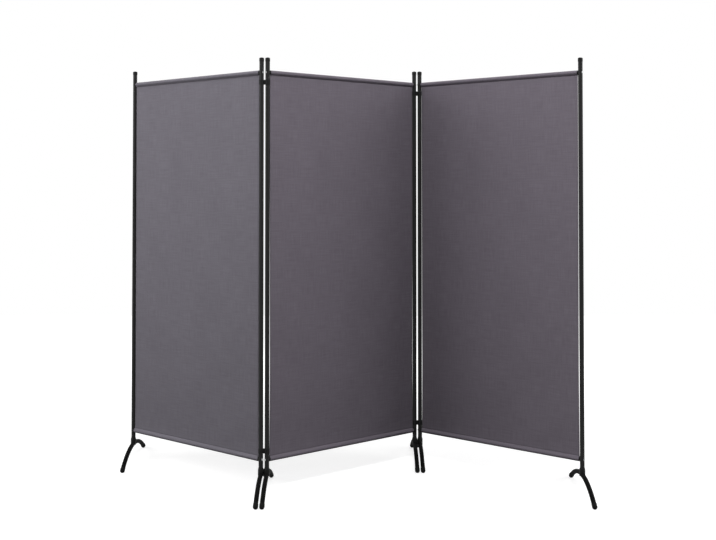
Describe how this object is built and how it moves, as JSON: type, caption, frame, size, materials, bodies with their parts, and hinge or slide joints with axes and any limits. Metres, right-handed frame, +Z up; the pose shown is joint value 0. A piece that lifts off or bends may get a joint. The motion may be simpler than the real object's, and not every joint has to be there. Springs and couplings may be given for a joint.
{
  "type": "folding screen",
  "caption": "Free-standing folding screen: fabric panels sleeved on rails between round tube posts, with hinge clips and arched tube feet.",
  "frame": {"origin": "on the floor, below the middle of the centre panel", "axes": "+Z up, +X along the hinge links towards the right panel, +Y towards the back, so the front is seen along +Y"},
  "size_m": [1.9886, 1.0438, 1.8],
  "materials": {
    "black_steel": "satin black powder coat on steel tube",
    "black_plastic": "moulded, fine texture",
    "black_rubber": "matt",
    "zinc_steel": "bright zinc plate",
    "grey_fabric": "plain weave polyester, taut"
  },
  "bodies": {
    "left_panel": {"left_panel_left_upper_post": "black_steel", "left_panel_left_lower_post": "black_steel", "left_panel_left_post_cap": "black_plastic", "left_panel_right_upper_post": "black_steel", "left_panel_right_lower_post": "black_steel", "left_panel_right_post_cap": "black_plastic", "left_panel_top_rail": "black_steel", "left_panel_bottom_rail": "black_steel", "left_panel_rail_inserts": "black_plastic", "left_panel_rail_bolts": "zinc_steel", "left_panel_fabric": "grey_fabric"},
    "centre_panel": {"centre_panel_left_upper_post": "black_steel", "centre_panel_left_lower_post": "black_steel", "centre_panel_left_post_cap": "black_plastic", "centre_panel_right_upper_post": "black_steel", "centre_panel_right_lower_post": "black_steel", "centre_panel_right_post_cap": "black_plastic", "centre_panel_top_rail": "black_steel", "centre_panel_bottom_rail": "black_steel", "centre_panel_rail_inserts": "black_plastic", "centre_panel_rail_bolts": "zinc_steel", "centre_panel_fabric": "grey_fabric"},
    "right_panel": {"right_panel_left_upper_post": "black_steel", "right_panel_left_lower_post": "black_steel", "right_panel_left_post_cap": "black_plastic", "right_panel_right_upper_post": "black_steel", "right_panel_right_lower_post": "black_steel", "right_panel_right_post_cap": "black_plastic", "right_panel_top_rail": "black_steel", "right_panel_bottom_rail": "black_steel", "right_panel_rail_inserts": "black_plastic", "right_panel_rail_bolts": "zinc_steel", "right_panel_fabric": "grey_fabric"},
    "left_hinge": {"left_hinge_lower_clip": "black_plastic", "left_hinge_upper_clip": "black_plastic"},
    "right_hinge": {"right_hinge_lower_clip": "black_plastic", "right_hinge_upper_clip": "black_plastic"},
    "left_panel_left_foot": {"left_panel_left_foot_arch": "black_steel", "left_panel_left_foot_collar": "black_plastic", "left_panel_left_foot_tips": "black_rubber"},
    "left_panel_right_foot": {"left_panel_right_foot_arch": "black_steel", "left_panel_right_foot_collar": "black_plastic", "left_panel_right_foot_tips": "black_rubber"},
    "centre_panel_left_foot": {"centre_panel_left_foot_arch": "black_steel", "centre_panel_left_foot_collar": "black_plastic", "centre_panel_left_foot_tips": "black_rubber"},
    "centre_panel_right_foot": {"centre_panel_right_foot_arch": "black_steel", "centre_panel_right_foot_collar": "black_plastic", "centre_panel_right_foot_tips": "black_rubber"},
    "right_panel_left_foot": {"right_panel_left_foot_arch": "black_steel", "right_panel_left_foot_collar": "black_plastic", "right_panel_left_foot_tips": "black_rubber"},
    "right_panel_right_foot": {"right_panel_right_foot_arch": "black_steel", "right_panel_right_foot_collar": "black_plastic", "right_panel_right_foot_tips": "black_rubber"}
  },
  "joints": [
    {"name": "left_fold", "type": "hinge", "parent": "left_hinge", "child": "left_panel", "pos_m": [-0.34407, -0.27542, 0], "axis": [0, 0, -1], "range_deg": [-130.8, 49.2]},
    {"name": "left_clips_turn", "type": "hinge", "parent": "centre_panel", "child": "left_hinge", "pos_m": [-0.31907, -0.27542, 0], "axis": [0, 0, -1], "range_deg": [-130.8, 49.2]},
    {"name": "right_clips_turn", "type": "hinge", "parent": "centre_panel", "child": "right_hinge", "pos_m": [0.31907, 0.27542, 0], "axis": [0, 0, -1], "range_deg": [-130.8, 49.2]},
    {"name": "right_fold", "type": "hinge", "parent": "right_hinge", "child": "right_panel", "pos_m": [0.34407, 0.27542, 0], "axis": [0, 0, -1], "range_deg": [-130.8, 49.2]},
    {"name": "left_panel_left_foot_turn", "type": "hinge", "parent": "left_panel", "child": "left_panel_left_foot", "pos_m": [-0.98222, 0.27542, 0], "axis": [0, 0, 1], "range_deg": [-130.8, 49.2]},
    {"name": "left_panel_right_foot_turn", "type": "hinge", "parent": "left_panel", "child": "left_panel_right_foot", "pos_m": [-0.34407, -0.27542, 0], "axis": [0, 0, 1], "range_deg": [-130.8, 49.2]},
    {"name": "centre_panel_left_foot_turn", "type": "hinge", "parent": "centre_panel", "child": "centre_panel_left_foot", "pos_m": [-0.31907, -0.27542, 0], "axis": [0, 0, -1], "range_deg": [-130.8, 49.2]},
    {"name": "centre_panel_right_foot_turn", "type": "hinge", "parent": "centre_panel", "child": "centre_panel_right_foot", "pos_m": [0.31907, 0.27542, 0], "axis": [0, 0, -1], "range_deg": [-130.8, 49.2]},
    {"name": "right_panel_left_foot_turn", "type": "hinge", "parent": "right_panel", "child": "right_panel_left_foot", "pos_m": [0.34407, 0.27542, 0], "axis": [0, 0, 1], "range_deg": [-130.8, 49.2]},
    {"name": "right_panel_right_foot_turn", "type": "hinge", "parent": "right_panel", "child": "right_panel_right_foot", "pos_m": [0.98222, -0.27542, 0], "axis": [0, 0, 1], "range_deg": [-130.8, 49.2]}
  ],
  "couplings": [
    {"joint": "left_clips_turn", "follows": "left_fold", "ratio": 1},
    {"joint": "right_clips_turn", "follows": "left_fold", "ratio": 1},
    {"joint": "right_fold", "follows": "left_fold", "ratio": 1},
    {"joint": "left_panel_left_foot_turn", "follows": "left_fold", "ratio": 1},
    {"joint": "left_panel_right_foot_turn", "follows": "left_fold", "ratio": 1},
    {"joint": "centre_panel_left_foot_turn", "follows": "left_fold", "ratio": 1},
    {"joint": "centre_panel_right_foot_turn", "follows": "left_fold", "ratio": 1},
    {"joint": "right_panel_left_foot_turn", "follows": "left_fold", "ratio": 1},
    {"joint": "right_panel_right_foot_turn", "follows": "left_fold", "ratio": 1}
  ]
}
